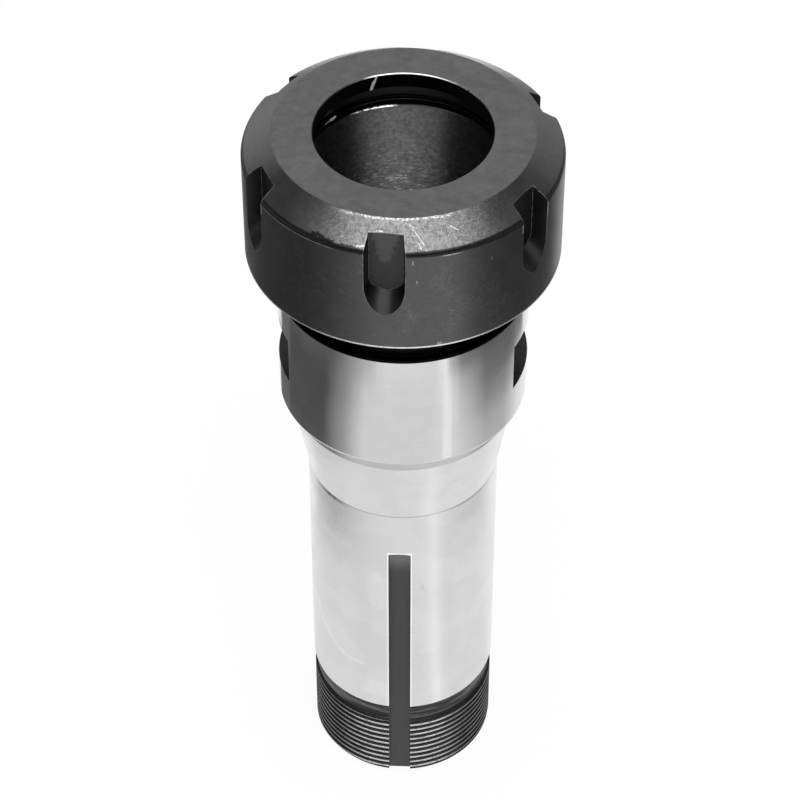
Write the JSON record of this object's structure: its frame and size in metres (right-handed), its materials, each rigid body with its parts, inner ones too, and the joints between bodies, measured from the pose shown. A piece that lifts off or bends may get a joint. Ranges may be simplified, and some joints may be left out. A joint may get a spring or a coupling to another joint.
{
  "type": "collet chuck holder",
  "caption": "Collet chuck holder: ground draw-in shank with rear thread, keyway and seating cone, a wide head with wrench flats, and a black slotted clamping nut.",
  "frame": {"origin": "centre of the shank's rear face, which it stands on", "axes": "+Z along the turning axis, out through the nut; -Y towards the keyway; +X to the right of it"},
  "size_m": [0.05, 0.05, 0.1362],
  "materials": {
    "ground_steel": "ground bright, with unground grooves and thread left black",
    "black_steel": "black oxide, satin, worn bright along the front edges"
  },
  "bodies": {
    "holder": {"holder_body": "ground_steel"},
    "nut": {"clamping_nut": "black_steel"}
  },
  "joints": [
    {"name": "nut_unscrew", "type": "slide", "parent": "holder", "child": "nut", "axis": [0, 0, 1], "range_m": [0, 0.03]}
  ]
}
